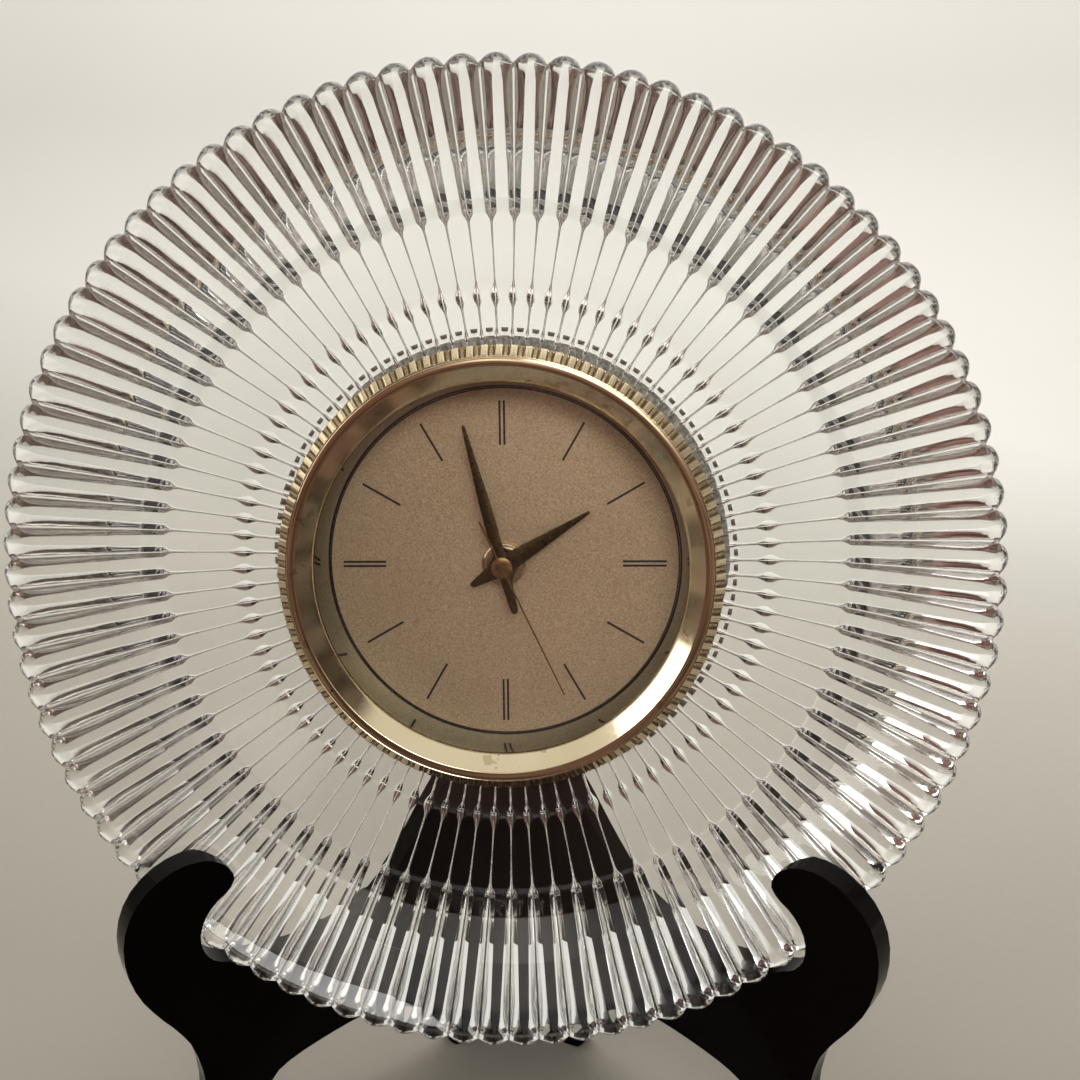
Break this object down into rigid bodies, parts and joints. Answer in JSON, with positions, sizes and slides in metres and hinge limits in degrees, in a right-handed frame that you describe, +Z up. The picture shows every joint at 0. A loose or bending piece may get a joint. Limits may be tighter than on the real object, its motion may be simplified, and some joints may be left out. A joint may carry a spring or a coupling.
{
  "type": "crystal clock",
  "caption": "Round ribbed crystal plate with a gold-rimmed quartz dial at its centre, leaning back on a black folding stand.",
  "frame": {"origin": "on the table, under the middle of the whole object", "axes": "+Z up, the dial faces -Y and +X is to the viewer's right; the clock leans back 8 degrees"},
  "size_m": [0.284, 0.0888, 0.3265],
  "materials": {
    "crystal": "clear polished pressed crystal",
    "gold": "polished champagne gold plate",
    "chrome": "mirror plated",
    "lens": "clear flat mineral glass",
    "dial": "satin champagne rose, fine grain",
    "print": "matt black printed lines",
    "hands": "dark bronze-gold satin",
    "black_plastic": "moulded black, fine texture",
    "grey_plastic": "moulded dark grey",
    "white_plastic": "moulded ivory acetal",
    "rubber": "soft black rubber",
    "felt": "mottled grey cork-rubber",
    "steel": "bright zinc plate",
    "iron": "laminated soft iron",
    "board": "green solder resist",
    "chip": "black resin",
    "copper": "enamelled copper wire",
    "cell": "plain wrapped cell, no lettering",
    "lacquer": "gloss black lacquer"
  },
  "bodies": {
    "clock": {"crystal_plate": "crystal", "bezel": "gold", "bezel_gasket": "rubber", "dial_glass": "lens", "reflector_wall": "chrome", "dial_plate": "dial", "hour_markers": "print", "insert_cup": "black_plastic", "clamp_gasket": "felt", "clamp_ring": "black_plastic", "clamp_screws": "steel", "movement_case": "grey_plastic", "movement_cover": "grey_plastic", "cover_screws": "steel", "gear_bridge": "white_plastic", "dial_washer": "rubber", "centre_nut": "gold", "circuit_board": "board", "driver_chip": "chip", "quartz_crystal": "steel", "stator": "iron", "coil_bobbin": "white_plastic", "coil_winding": "copper", "battery": "cell", "contact_plus": "steel", "contact_minus": "steel", "stand_left": "lacquer", "stand_right": "lacquer", "stand_pin": "steel"},
    "seconds": {"second_wheel": "white_plastic", "second_hand": "gold"},
    "rotor": {"rotor": "iron"},
    "intermediate": {"intermediate_wheel": "white_plastic"},
    "third": {"third_wheel": "white_plastic"},
    "centre": {"centre_wheel": "white_plastic"},
    "minutes": {"minute_arbor": "gold", "minute_hand": "hands"},
    "motion": {"motion_wheel": "white_plastic"},
    "hours": {"hour_wheel": "white_plastic", "hour_hand": "hands"},
    "knob": {"setting_knob": "white_plastic"}
  },
  "joints": [
    {"name": "seconds_turn", "type": "hinge", "parent": "clock", "child": "seconds", "pos_m": [0, 0.02857, 0.18043], "axis": [0, 0.9903, -0.1392], "continuous": true},
    {"name": "rotor_turn", "type": "hinge", "parent": "clock", "child": "rotor", "pos_m": [-0.01218, 0.03386, 0.18932], "axis": [0, 0.9903, -0.1392], "continuous": true},
    {"name": "intermediate_turn", "type": "hinge", "parent": "clock", "child": "intermediate", "pos_m": [-0.00594, 0.03237, 0.1859], "axis": [0, 0.9903, -0.1392], "continuous": true},
    {"name": "third_turn", "type": "hinge", "parent": "clock", "child": "third", "pos_m": [0.00721, 0.02957, 0.18758], "axis": [0, 0.9903, -0.1392], "continuous": true},
    {"name": "centre_turn", "type": "hinge", "parent": "clock", "child": "centre", "pos_m": [0, 0.02758, 0.18057], "axis": [0, 0.9903, -0.1392], "continuous": true},
    {"name": "minutes_turn", "type": "hinge", "parent": "clock", "child": "minutes", "pos_m": [0, 0.02362, 0.18113], "axis": [0, 0.9903, -0.1392], "continuous": true},
    {"name": "motion_turn", "type": "hinge", "parent": "clock", "child": "motion", "pos_m": [0.00624, 0.02411, 0.17742], "axis": [0, 0.9903, -0.1392], "continuous": true},
    {"name": "hours_turn", "type": "hinge", "parent": "clock", "child": "hours", "pos_m": [0, 0.02362, 0.18113], "axis": [0, 0.9903, -0.1392], "continuous": true},
    {"name": "knob_turn", "type": "hinge", "parent": "clock", "child": "knob", "pos_m": [0.01247, 0.02955, 0.17302], "axis": [0, 0.9903, -0.1392], "continuous": true}
  ],
  "couplings": [
    {"joint": "rotor_turn", "follows": "seconds_turn", "ratio": 30},
    {"joint": "intermediate_turn", "follows": "seconds_turn", "ratio": -6},
    {"joint": "third_turn", "follows": "seconds_turn", "ratio": -0.13333},
    {"joint": "centre_turn", "follows": "seconds_turn", "ratio": 0.016667},
    {"joint": "motion_turn", "follows": "minutes_turn", "ratio": -0.33333},
    {"joint": "hours_turn", "follows": "minutes_turn", "ratio": 0.083333},
    {"joint": "knob_turn", "follows": "minutes_turn", "ratio": 1}
  ]
}
